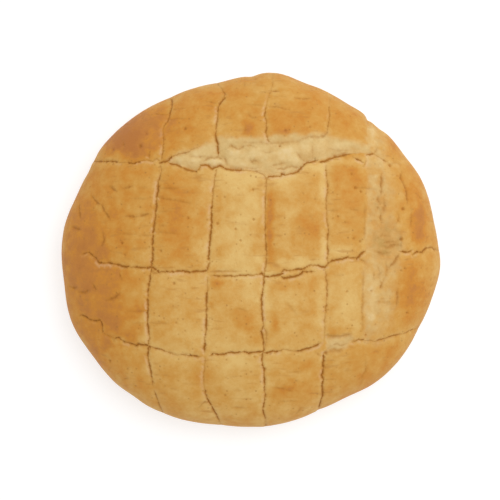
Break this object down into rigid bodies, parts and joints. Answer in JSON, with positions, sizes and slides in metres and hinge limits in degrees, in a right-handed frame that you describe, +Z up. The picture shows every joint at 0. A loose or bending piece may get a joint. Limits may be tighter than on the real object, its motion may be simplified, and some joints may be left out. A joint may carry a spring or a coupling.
{
  "type": "pot bread",
  "caption": "Round crusty loaf with a domed crown slashed in a grid, torn open along two slashes, on a flat underside.",
  "frame": {"origin": "middle of the loaf's box on the plane of its flat underside", "axes": "+Z up out of the crown, +X to the right of the picture's view from above, +Y to its top"},
  "size_m": [0.2404, 0.2244, 0.066],
  "materials": {
    "crust": "matte"
  },
  "bodies": {
    "root": {"loaf": "crust"}
  },
  "joints": []
}
